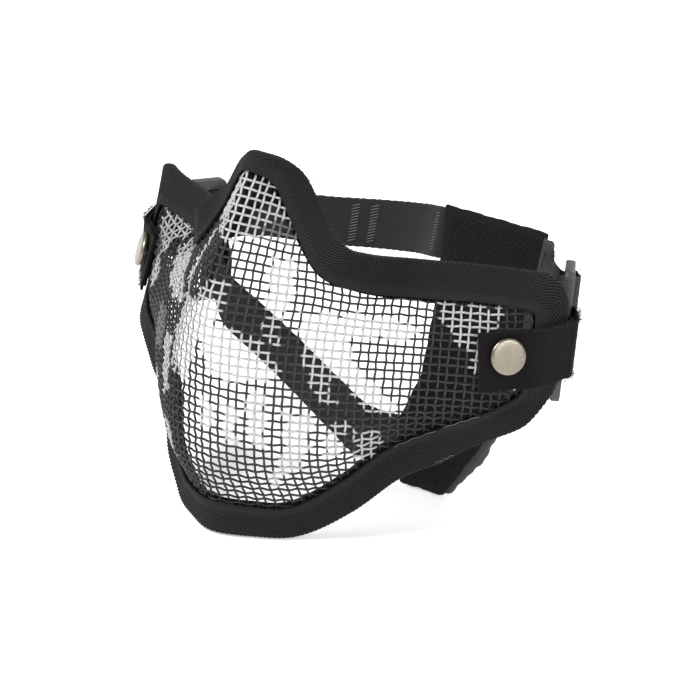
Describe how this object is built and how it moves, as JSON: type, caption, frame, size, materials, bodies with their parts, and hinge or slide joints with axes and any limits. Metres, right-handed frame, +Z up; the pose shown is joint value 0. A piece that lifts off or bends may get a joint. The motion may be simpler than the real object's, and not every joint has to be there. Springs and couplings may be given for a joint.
{
  "type": "wire mesh half face mask",
  "caption": "Half face mask of woven steel wire with a camouflage print, folded tape rim, riveted side tabs, plastic rings and an elastic strap harness with a rear panel.",
  "frame": {"origin": "centre of the bounding box's bottom, on the surface that the chin rim and the rear panel's lower corner stand on", "axes": "+X towards the wearer's left, +Z up, and the mask faces -Y"},
  "size_m": [0.1748, 0.132, 0.1315],
  "materials": {
    "printed_wire": "satin black, white and grey camouflage print on woven steel wire",
    "rim_tape": "matt black ribbed twill tape",
    "tab_fabric": "matt black brushed loop fabric",
    "ring_plastic": "satin moulded dark grey plastic",
    "rivet_nickel": "polished nickel with a warm tint",
    "hook_panel": "black hook tape in rows",
    "panel_lining": "smooth dark grey lining",
    "ribbed_elastic": "dark grey ribbed elastic",
    "strap_elastic": "matt black woven elastic"
  },
  "bodies": {
    "mask": {"wire_mesh_shell": "printed_wire", "binding_tape": "rim_tape", "side_tab_left": "tab_fabric", "side_tab_right": "tab_fabric", "rivet_cap_left": "rivet_nickel", "rivet_cap_right": "rivet_nickel", "rivet_washer_left": "rivet_nickel", "rivet_washer_right": "rivet_nickel", "rivet_stem_left": "rivet_nickel", "rivet_stem_right": "rivet_nickel"},
    "left_ring": {"strap_ring_left": "ring_plastic"},
    "right_ring": {"strap_ring_right": "ring_plastic"},
    "harness": {"ribbed_elastic_link": "ribbed_elastic", "rear_panel": "hook_panel", "rear_panel_lining": "panel_lining", "upper_strap": "strap_elastic", "lower_strap": "strap_elastic"}
  },
  "joints": [
    {"name": "left_ring_swing", "type": "hinge", "parent": "mask", "child": "left_ring", "pos_m": [0.0784, 0.0371, 0.07], "axis": [0, 0, 1], "range_deg": [-10, 10]},
    {"name": "harness_swing", "type": "hinge", "parent": "left_ring", "child": "harness", "pos_m": [0.073, 0.0482, 0.07], "axis": [0, 0, 1], "range_deg": [-12, 12]},
    {"name": "right_ring_swing", "type": "hinge", "parent": "mask", "child": "right_ring", "pos_m": [-0.0784, 0.0371, 0.063], "axis": [0, 0, 1], "range_deg": [-10, 10]}
  ],
  "couplings": [
    {"joint": "harness_swing", "follows": "left_ring_swing", "ratio": -1.074},
    {"joint": "right_ring_swing", "follows": "left_ring_swing", "ratio": 1}
  ]
}
